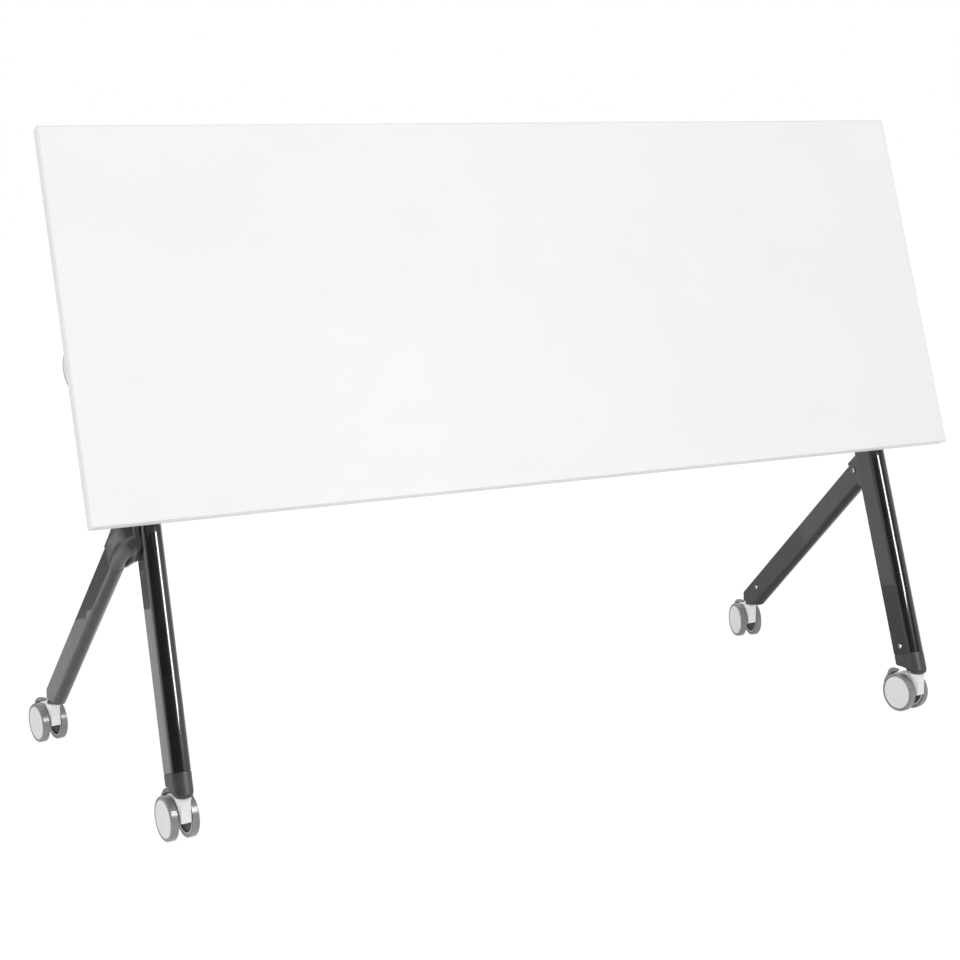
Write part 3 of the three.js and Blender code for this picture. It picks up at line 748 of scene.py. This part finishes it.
cv, cf = nets(cap_field, (762, -225, 87), (806, -95, 134), 1.0)

# rear insert: only its lower lip shows
ro = d_outline(R_W, R_FLAT, 2.0, 2.6)


def plug_field(x, y, z):
    p = np.stack([x - P1[0], y - P1[1], z - P1[2]])
    s, t, q = (np.tensordot(ax_, p, 1) for ax_ in (WR, DR, UR))
    d = d_dist(s, t + 2.6, R_W - 5.2, R_FLAT - 2.6, 2.0)
    d = smax(d, y - 525.4, 1.5)
    d = smax(d, FOOT_R - z, 2.2)
    return np.maximum(d, z - 108)


gv, gf = nets(plug_field, (822, 430, 89), (862, 530, 109), 1.2)


# knuckle casting between the legs: the rear leg's section runs on, bends forward and fades into the front leg's side
def front_pt(t, q):
    p = PIV + TF * t + AF * q
    return (p[1], p[2])


WEB = [(80, 428), (60, 441), (44, 447.5), (29, 453), (14, 458), (0, 462.5), (-14, 467)]
K_REST = [(-47, 503), (-45, 520), front_pt(-14, -80), front_pt(-14, -42), front_pt(24, -42), front_pt(F_TOT / 2, -78), (49, 521), (58, 511.5), (70, 500.5), (88, 486.0), (95.5, 478.2), (124, 453.5)]
K_WEB = WEB + K_REST
KX0 = 797.9


def smooth_path(pts, n):
    """Points along a smooth curve through pts."""
    p = np.array(pts, float)
    p = np.vstack([2 * p[0] - p[1], p, 2 * p[-1] - p[-2]])
    out = []
    for k in range(1, len(p) - 2):
        a, b, c, d = p[k - 1], p[k], p[k + 1], p[k + 2]
        for u in np.arange(n) / n:
            out.append(0.5 * (2 * b + (c - a) * u + (2 * a - 5 * b + 4 * c - d) * u * u + (3 * b - a - 3 * c + d) * u ** 3))
    out.append(p[-2])
    return np.array(out)


ELBOW = smooth_path([(816.9, 84.5, 429.8), (816.4, 75.3, 437.5), (815.8, 66.4, 445.6), (815.3, 59.0, 453.2), (814.2, 41.5, 469.4), (811.0, 12.2, 486.6), (806.0, -5.2, 494.6), (797.5, -16.5, 499.9), (788.5, -25.6, 503.9), (778.0, -34.0, 507.5)], 4)
K_BODY = [(y, z) for _, y, z in ELBOW] + K_REST


def tube_dist(path, x, y, z, k):
    """Distance to the path, its sideways share weighted by k."""
    d, side = np.full(x.shape, 1e18), np.zeros(x.shape)
    for a, b in zip(path[:-1], path[1:]):
        e = b - a
        px, py, pz = x - a[0], y - a[1], z - a[2]
        t = np.clip((px * e[0] + py * e[1] + pz * e[2]) / (e @ e), 0, 1)
        sx = (px - t * e[0]) ** 2
        n = sx + (py - t * e[1]) ** 2 + (pz - t * e[2]) ** 2
        near = n < d
        d, side = np.where(near, n, d), np.where(near, sx, side)
    return np.sqrt(d + (k * k - 1) * side)


def knuckle_field(x, y, z):
    p = np.stack([x - P1[0], y - P1[1], z - P1[2]])
    s, t, q = (np.tensordot(ax_, p, 1) for ax_ in (WR, DR, UR))
    fs, ft, fq = front_local(x, y, z)
    ft = ft + F_TOT / 2
    half = R_W / 2 + 1.0
    far = np.clip((q - R_CUT - 2) / 34, 0, 1)
    far = far * far * (3 - 2 * far)
    # elbow: the nose of the rear leg runs on, bends forward and dies in the side of the front leg
    wide = 1 + 0.25 * far
    reach = tube_dist(ELBOW, x, y, z, wide)
    elbow = (reach - half * wide) / np.sqrt(wide)
    # body above it, dished next to the elbow, flush again at its back edge, sloping in towards the front leg
    slope = (22.4 - 1.2 * (827 - x) - ft) * 0.64
    dish = 5.4 * far * np.clip(1 - (reach - 15) / 22, 0, 1)
    dx = smax(s - half + dish, slope + 4.6 * far, 9.0)
    inner = np.maximum(KX0 + 0.2 - x, -s - half + 0.8 - 3.0 * far)
    body = rext(sd_poly(K_BODY, y, z), np.maximum(inner, dx), 3.0)
    lobe = smin(elbow, body, 1.1)
    web = rext(sd_poly(K_WEB, y, z), np.abs(fs - F_W / 2 - 5.4) - 3.5, 1.2)
    boss = rext(np.hypot(y - 63, z - 475.5) - 7.2, np.abs(x - 804.0) - 6.0, 0.5)
    lobe = smin(lobe, boss, 1.0)
    d = smax(smin(lobe, web, 0.9), slope + 0.4, 0.8)
    bridge = rext(sd_poly([front_pt(-12, -65), front_pt(28, -65), front_pt(24, -42), front_pt(-10, -42)], y, z), np.abs(x - LEG_X - 24) - 21, 2.0)
    d = smin(np.maximum(d, F_W / 2 + 0.3 - fs), bridge, 2.0)
    # end against the tube of the rear leg
    return smax(d, R_CUT + 0.4 + (R_W / 2 - s) / R_W * 11.0 - q, 0.6)


def joint_line():
    """Thin ring in the shadow material where the tube of the rear leg goes into the casting: painted shadow in the
    joint.
    """
    o = d_outline(R_W, R_FLAT, 2.4, -0.3)
    rings = []
    for dq, ins in ((-1.25, 0.45), (-1.2, 0.0), (1.0, 0.0)):
        oo = d_outline(R_W, R_FLAT, 2.4, -0.3 + ins)
        q = R_CUT + 0.4 + (R_W / 2 - o[:, 0]) / R_W * 11.0 + dq
        rings.append(P1 + np.outer(oo[:, 0], WR) + np.outer(oo[:, 1], DR) + np.outer(q, UR))
    v, f = loft(rings)
    return v, outward(v, f)


jlv, jlf = joint_line()
kv, kf = nets(knuckle_field, (778, -50, 410), (834, 135, 614), 1.2)


def head_outline():
    r = F_TOT / 2
    return [front_pt(r, F_TOP + 0.3)] + [front_pt(r * math.cos(a), r * math.sin(a)) for a in np.linspace(0, math.pi, 25)] + [front_pt(-r, F_TOP + 0.3)]


HEAD = head_outline()
ARM = [(19.4 + a, 645 + b) for a, b in ((26, -30), (70, -18), (128, 8), (140, 8), (140, 20), (124, 25), (20, 25), (0, 0))]


def head_field(x, y, z):
    xl = np.abs(x - LEG_X)
    head = rext(sd_poly(HEAD, y, z), xl - F_W / 2, 2.4)
    armd = rext(sd_poly(ARM, y, z), xl - 11, 2.0)
    rib = rext(sd_poly([(40, 628), (150, 650), (150, 656), (60, 660)], y, z), xl - 13, 1.2)
    boss = rext(np.hypot(y - PIV[1], z - PIV[2]) - 12.5, xl - F_W / 2 - 1.1, 1.0)
    return smin(smin(smin(head, armd, 6.0), rib, 2.0), boss, 1.2)


hv, hf = nets(head_field, (LEG_X - 20, -45, 560), (LEG_X + 20, 162, 682), 1.7)


def hex_screw():
    """Button head with a hexagon socket; axis along -X towards the viewer, seat at x = 0."""
    n = 60
    ang = np.arange(n) * 2 * math.pi / n

    def circ(r, x):
        return np.column_stack([np.full(n, x), r * np.cos(ang), r * np.sin(ang)])

    def hexa(a, x):
        k = (ang % (math.pi / 3)) - math.pi / 6
        r = a / np.cos(k)
        return np.column_stack([np.full(n, x), r * np.cos(ang), r * np.sin(ang)])

    rings = [circ(4.3, 0.0), circ(4.75, -0.15), circ(4.75, -0.75)]
    for t in np.linspace(0.2, 1.2, 6):
        rings.append(circ(4.75 * math.cos(t * 0.78) + 0.0, -0.75 - 1.95 * math.sin(t * 0.78) / math.sin(1.2 * 0.78)))
    rings += [circ(3.15, -2.75), hexa(2.72, -2.72), hexa(2.60, -2.6), hexa(2.5, -1.5), hexa(1.45, -1.35), hexa(1.25, -1.75), hexa(0.6, -1.85)]
    v, f = loft(rings)
    f = outward(v, f)
    mid = [np.mean(np.hypot(v[list(q)][:, 1], v[list(q)][:, 2])) for q in f]
    # the socket's recess gets the shadow material: painted shade
    inner = [1 if (1.4 < m < 2.92 and np.mean(v[list(q)][:, 0]) > -2.66) else 0 for m, q in zip(mid, f)]
    return v, f, inner


sv0, sf0, sm0 = hex_screw()


def rear_inner(y, z, w):
    return P1[0] - (w / 2 + WR[1] * (y - P1[1]) + WR[2] * (z - P1[2])) / WR[0]


SCREWS = {
    "screw_front_foot": (LEG_X + SPLAY * 533.7 - F_W / 2, -141.0, 136.0, np.array([1.0, 0, 0])),
    "screw_rear_foot": (rear_inner(466, 137, R_W), 466.0, 137.0, WR),
    "screw_knuckle": (min(KX0, rear_inner(63, 475.5, R_W + 5)), 63.0, 475.5, np.array([1.0, 0, 0])),
}


def washer():
    v, f = lathe_x([(4.6, 0.02), (6.4, 0.02), (6.6, -0.12), (6.4, -0.26), (4.6, -0.26)], 48)
    return v, f


for side, sgn in (("right", 1), ("left", -1)):
    def put(v, f, sgn=sgn):
        return (v, f) if sgn > 0 else mirror(v, f)

    v, f = put(flv, flf)
    obj_from("front_leg_%s_tube" % side, v, f, BLACK, "frame", "black_leg", ["front_leg_" + side], even=True, uv=fluv)
    v, f = put(rlv, rlf)
    obj_from("rear_leg_%s_tube" % side, v, f, BLACK_REAR, "frame", "black_leg", ["rear_leg_" + side], even=True)
    v, f = put(cv, cf)
    obj_from("front_foot_cap_%s_moulding" % side, v, f, FOOT, "frame", "foot_plastic", ["front_foot_cap_" + side], sharp=50)
    # spigot in the shadow material: painted shade in the seam between tube and cap
    v, f = put(spv, spf)
    obj_from("front_foot_cap_%s_spigot" % side, v, f, SOCKET, "frame", "foot_plastic", ["front_foot_cap_" + side], sharp=40)
    v, f = put(gv, gf)
    obj_from("rear_foot_plug_%s_moulding" % side, v, f, FOOT, "frame", "foot_plastic", ["rear_foot_plug_" + side], sharp=50)
    v, f = put(kv, kf)
    obj_from("leg_head_%s_knuckle" % side, v, f, CAST, "frame", "cast_grey", ["leg_head_" + side], sharp=60)
    v, f = put(jlv, jlf)
    obj_from("leg_head_%s_joint_line" % side, v, f, SOCKET, "frame", "foot_plastic", ["leg_head_" + side], sharp=40)
    v, f = put(hv, hf)
    obj_from("leg_head_%s_block" % side, v, f, CAST, "frame", "cast_grey", ["leg_head_" + side], sharp=60)
    pvx, pfx = lathe_x([(0, LEG_X - 28), (3.6, LEG_X - 28), (4.95, LEG_X - 27.1), (4.95, LEG_X + 27.1), (3.6, LEG_X + 28), (0, LEG_X + 28)], 40)
    v, f = put(pvx + np.array([0, PIV[1], PIV[2]]), pfx)
    obj_from("pivot_pin_%s_rod" % side, v, f, STEEL, "frame", "steel", ["pivot_pin_" + side], sharp=40)
    for name, (x, y, z, ax_) in SCREWS.items():
        b = np.cross(ax_, [0, 0, 1.0])
        b /= np.linalg.norm(b)
        c = np.cross(ax_, b)
        place = np.stack([ax_, b, c])
        v, f = put(sv0 @ place + np.array([x - 0.25, y, z]), sf0)
        f = outward(v, f)
        obj_from("%s_%s_head" % (name, side), v, f, [SCREW, SOCKET], "frame", "screw_steel", ["%s_%s" % (name, side)], sharp=35, mat_ids=sm0)
        # seat under the head in the shadow material: painted shade
        wv, wf = washer()
        v, f = put(wv @ place + np.array([x, y, z]), wf)
        obj_from("%s_%s_seat" % (name, side), v, outward(v, f), SOCKET, "frame", "foot_plastic", sharp=35)

# cross beam: rounded tube
rect = fillet([(27.4, 579), (27.4, 619), (-2.6, 619), (-2.6, 579)], [5, 5, 5, 5], 6)
BX = LEG_X - F_W / 2 - 0.3
xs = np.linspace(-BX, BX, 13)
ring = np.array(rect)
rings = [np.column_stack([np.full(len(ring), x), ring]) for x in xs]
v, f = loft(rings)
obj_from("cross_beam_tube", v, outward(v, f), BEAM, "frame", "beam_black", ["cross_beam"], sharp=40)
for side, sgn in (("right", 1), ("left", -1)):
    r2 = fillet([(31.4, 575), (31.4, 621.5), (-6.6, 621.5), (-6.6, 575)], [7, 7, 7, 7], 6)
    v, f = prism(r2, sgn * (BX - 3.7) - 3.4, sgn * (BX - 3.7) + 3.4, 0, 1.2, 3)
    obj_from("beam_flange_" + side, v, outward(v, f), BEAM, "frame", "beam_black", sharp=40)


# ---------------------------------------------------------------- casters, in their own axes: stem axis at the origin, wheels trail to +Y
def arc_r(r, a0, a1, n):
    return arc(TRAIL, AXLE_Z, r, a0, a1, n)


LUG = arc_r(46, 15, 16, 1)[0]
FIN = [(-12, 40), (17, 31), (31, 27.5), (45, 30.5), (63, 41)] + arc_r(43, 12, 22, 2) + arc_r(41, 28, 80, 10) + [(-10, HOOD_Z), (-12, HOOD_Z - 2)]


def hood_field(x, y, z):
    fin = rext(sd_poly(FIN, y, z), np.abs(x) - 9.2, 1.4)
    rr = np.hypot(x, y)
    # flared neck under the stem collar
    prof = np.interp(z, [54, 60, 68, 73, 78, HOOD_Z], [8.8, 9.2, 10.8, 12.0, 14.0, 14.0])
    neck = smax((rr - prof) * 0.93, np.abs(z - (54 + HOOD_Z) / 2) - (HOOD_Z - 54) / 2, 1.4)
    lug = rext(np.hypot(y - LUG[0], z - LUG[1]) - 5.2, np.abs(x) - 9.2, 0.8)
    pin = rext(np.hypot(y - LUG[0], z - LUG[1]) - 2.0, np.abs(x) - 12.2, 0.5)
    d = smin(smin(fin, neck, 2.4), lug, 2.0)
    return smin(d, pin, 0.4)


hov, hof = nets(hood_field, (-15, -16, 26), (15, 86, HOOD_Z + 1), 1.0)

TAB = [(LUG[0] - 1, LUG[1] - 5), (LUG[0] + 4.5, LUG[1] - 4), (LUG[0] + 6, LUG[1] + 2)] + arc_r(50.2, 26, 36, 4) + arc_r(57, 42, 46.5, 2) + arc_r(50.4, 51, 52, 1)[:1] \
    + arc_r(47, 54, 55, 1)[:1] + arc_r(45, 54, 40, 5) + arc_r(45.6, 34, 30, 1) + [(LUG[0] - 3.5, LUG[1] + 3.5)]


def pedal_field(x, y, z):
    body = rext(sd_poly(TAB, y, z), np.abs(x) - 12.6, 1.1)
    ang = np.degrees(np.arctan2(z - AXLE_Z, y - TRAIL))
    rad = np.hypot(y - TRAIL, z - AXLE_Z)
    dome = (np.hypot(x / 12.6, np.maximum(rad - 44.9, 0) / 12.1) - 1) * 9.0
    d = smax(body, dome, 1.0)
    # three grip ridges across the outer face of the tab
    for a in (27.5, 31.0, 34.5):
        ridge = np.hypot(np.maximum(np.abs(x) - 7.0, 0), np.hypot((ang - a) * 0.9, (rad - 50.1))) - 0.8
        d = smin(d, ridge, 0.8)
    fork = rext(np.hypot(y - LUG[0], z - LUG[1]) - 7.4, np.abs(x) - 10.0, 0.3)
    return smax(d, -fork, 0.5)


pev, pef = nets(pedal_field, (-14, 48, 44), (14, 90, 88), 0.9)

WR_ = AXLE_Z          # wheel radius: the tread just touches the floor
TYRE_P = fillet([(33.9, 12.2), (38.5, 12.2), (WR_, 13.2), (WR_, 24.5), (37.8, 26.3), (33.9, 26.3)], [0.4, 0.5, 0.5, 0.7, 0.8, 0.4], 5)
TYRE_P = [tuple(p) for p in TYRE_P]
HUB_P = [(33.6, 13.2), (33.6, 25.6), (33.3, 26.15), (32.6, 26.45), (31.4, 26.5), (30.9, 26.28), (30.3, 26.5), (22.0, 26.62), (10.0, 26.7)]
HUB_BACK = [(4.4, 13.6), (8.6, 13.6), (9.4, 14.2), (9.4, 15.8), (11.0, 16.4), (28.6, 16.4), (29.8, 15.6), (30.4, 13.4), (31.0, 12.8), (33.0, 12.8)]
hub_profile = [(0, 21.9), (4.4, 21.9)] + HUB_BACK + HUB_P + [(0, 26.72)]
tyv, tyf = lathe_x(TYRE_P, 128)
huv, huf = lathe_x([(float(r), float(x)) for r, x in hub_profile], 128)
# faces on the inner side of the hub, inside the rim, get the dark colour: partly a darker plate, partly painted shade
hub_inner_shade_ids = [1 if (np.mean(huv[list(q)][:, 0]) < 22.5 and np.hypot(*np.mean(huv[list(q)][:, 1:], axis=0)) < 30.3) else 0 for q in huf]
axv, axf = lathe_x([(0, -21.4), (3.4, -21.4), (4.0, -20.8), (4.0, 20.8), (3.4, 21.4), (0, 21.4)], 32)
stem_tops = {"front": 118.0, "rear": 107.0}

for key, deg in SWIVEL.items():
    end, side = key.split("_")
    sx = -1 if side == "left" else 1
    ox, oy = sx * STEM[key][0], STEM[key][1]
    c, s = math.cos(math.radians(deg)), math.sin(math.radians(deg))

    def at(v):
        v = np.asarray(v, float)
        return np.column_stack([ox + c * v[:, 0] - s * v[:, 1], oy + s * v[:, 0] + c * v[:, 1], v[:, 2]])

    body = "caster_" + key
    obj_from("caster_hood_%s_shell" % key, at(hov), hof, HOOD, body, "hood_white", ["caster_hood_" + key], sharp=60)
    obj_from("caster_axle_%s_rod" % key, at(axv + np.array([0, TRAIL, AXLE_Z])), axf, STEEL, body, "steel", ["caster_axle_" + key], sharp=40)
    obj_from("brake_pedal_%s_tab" % key, at(pev), pef, PEDAL, "brake_" + key, "pedal_grey", ["brake_pedal_" + key], sharp=60)
    top = stem_tops[end]
    ft_z = (FOOT_F if end == "front" else FOOT_R) - 0.3
    stv, stf = lathe_z([(0, 53.0), (4.8, 53.0), (5.5, 53.7), (5.5, HOOD_Z + 0.4), (10.6, HOOD_Z + 0.4), (11.3, HOOD_Z + 1.0), (11.3, ft_z - 0.7), (10.6, ft_z), (5.5, ft_z), (5.5, top - 0.8), (4.8, top), (0, top)], 48)
    obj_from("caster_stem_%s_pin" % key, at(stv), stf, STEM_MAT, "frame", "steel", ["caster_stem_" + key], sharp=40)
    for w, sg in (("a", -1), ("b", 1)):
        wb = "wheel_%s_%s" % (key, w)
        v, f = (tyv, tyf) if sg > 0 else mirror(tyv, tyf)
        obj_from("tyre_%s_%s_tread" % (key, w), at(v + np.array([0, TRAIL, AXLE_Z])), f, TYRE, wb, "tyre_grey", ["tyre_%s_%s" % (key, w)], even=True)
        v, f = (huv, huf) if sg > 0 else mirror(huv, huf)
        obj_from("wheel_hub_%s_%s_disc" % (key, w), at(v + np.array([0, TRAIL, AXLE_Z])), f, [HUB, HUB_INNER_PLATE_AND_SHADE], wb, "hub_grey", ["wheel_hub_%s_%s" % (key, w)], even=True, mat_ids=hub_inner_shade_ids)


# ---------------------------------------------------------------- stage: pale floor, soft light, flags, camera
def stage_plane(name, corners, shade):
    me = bpy.data.meshes.new(name)
    me.from_pydata(corners, [], [(0, 1, 2, 3)])
    me.update()
    o = bpy.data.objects.new(name, me)
    bpy.context.scene.collection.objects.link(o)
    me.materials.append(shade)
    return o


def plain(name, base, glow):
    m, nt, b = new_mat(name)
    b.inputs["Base Color"].default_value = (base, base, base, 1)
    b.inputs["Roughness"].default_value = 0.9
    b.inputs["Specular IOR Level"].default_value = 0.0
    b.inputs["Emission Color"].default_value = (1, 1, 1, 1)
    b.inputs["Emission Strength"].default_value = glow
    return m


stage_plane("floor", [(-40, -40, 0), (40, -40, 0), (40, 40, 0), (-40, 40, 0)], plain("floor_pale", 0.11, 0.95))
dark = plain("flag_dark", 0.02, 0.03)
grey = plain("flag_grey", 0.05, 0.11)
soft = plain("flag_soft", 0.05, 0.70)
mid = plain("flag_mid", 0.05, 0.58)
low = plain("flag_low_tone", 0.05, 0.48)
# cards that only show as reflections in the dark coat
for name, corners, shade in (
    ("flag_front", [(-5.5, -4.6, 0.0), (3.4, -4.6, 0.0), (3.4, -4.6, 4.6), (-5.5, -4.6, 4.6)], dark),
    ("flag_left", [(-5.0, -4.6, 0.0), (-5.0, 0.64, 0.0), (-5.0, 0.64, 4.2), (-5.0, -4.6, 4.2)], dark),
    ("flag_low", [(-5.0, -4.6, 0.004), (-1.15, -4.6, 0.004), (-1.15, -0.27, 0.004), (-5.0, 0.64, 0.004)], dark),
    ("flag_low_back", [(-0.70, -0.20, 0.003), (-0.60, 1.42, 0.003), (-1.52, 1.42, 0.003), (-1.05, -0.20, 0.003)], soft),
    ("flag_low_right", [(0.95, 0.60, 0.003), (0.95, 3.20, 0.003), (-0.80, 3.20, 0.003), (0.41, 0.60, 0.003)], mid),
    ("flag_low_near", [(0.700, -0.430, 0.003), (0.907, -0.267, 0.003), (0.207, 0.613, 0.003), (-0.004, 0.446, 0.003)], low),
    ("flag_low_under", [(0.60, -0.12, 0.002), (0.98, -0.12, 0.002), (0.98, 0.60, 0.002), (0.60, 0.60, 0.002)], low),
    ("flag_back", [(-1.75, 1.52, 0.0), (-1.30, 1.52, 0.0), (-1.30, 1.52, 2.6), (-1.75, 1.52, 2.6)], grey),
    ("flag_back_near", [(-1.30, 1.42, 0.0), (-0.85, 1.42, 0.0), (-0.85, 1.42, 2.6), (-1.30, 1.42, 2.6)], grey),
):
    o = stage_plane(name, corners, shade)
    o.visible_camera = False
    o.visible_diffuse = False
    o.visible_shadow = False


def area(name, loc, target, sx, sy, watts):
    d = bpy.data.lights.new(name, "AREA")
    d.shape = "RECTANGLE"
    d.size, d.size_y, d.energy = sx, sy, watts
    o = bpy.data.objects.new(name, d)
    bpy.context.scene.collection.objects.link(o)
    o.location = loc
    o.rotation_mode = "QUATERNION"
    o.rotation_quaternion = (Vector(target) - Vector(loc)).to_track_quat("-Z", "Y")
    o.visible_camera = False
    return o


area("key", (-2.0, -2.7, 2.9), (-0.2, -0.1, 0.8), 2.4, 2.0, 14)
strip = area("strip", (0.40, -1.97, 1.42), (-0.2, -0.3, 1.42), 0.60, 1.30, 78)
strip.visible_diffuse = False

world = bpy.data.worlds.new("studio")
bpy.context.scene.world = world
world.use_nodes = True
bg = world.node_tree.nodes["Background"]
bg.inputs["Color"].default_value = (1, 1, 1, 1)
bg.inputs["Strength"].default_value = 1.0

cam_data = bpy.data.cameras.new("camera")
cam_data.sensor_width = 36.0
cam_data.sensor_fit = "HORIZONTAL"
cam_data.lens = 68.78881901741384
cam_data.clip_end = 200
cam = bpy.data.objects.new("camera", cam_data)
bpy.context.scene.collection.objects.link(cam)
R2, U2, FW = (0.8978565440, -0.4398108853, -0.0204941853), (0.0896471344, 0.1370424179, 0.9865002620), (0.4310649809, 0.8875729609, -0.1624722173)
C = (-1.6276332, -3.0894057 - Y0 / 1000, 1.1130187)
cam.matrix_world = Matrix(((R2[0], U2[0], -FW[0], C[0]), (R2[1], U2[1], -FW[1], C[1]), (R2[2], U2[2], -FW[2], C[2]), (0, 0, 0, 1)))
bpy.context.scene.camera = cam
bpy.context.scene.view_settings.view_transform = "Standard"
bpy.context.scene.view_settings.look = "None"

bpy.context.view_layer.update()
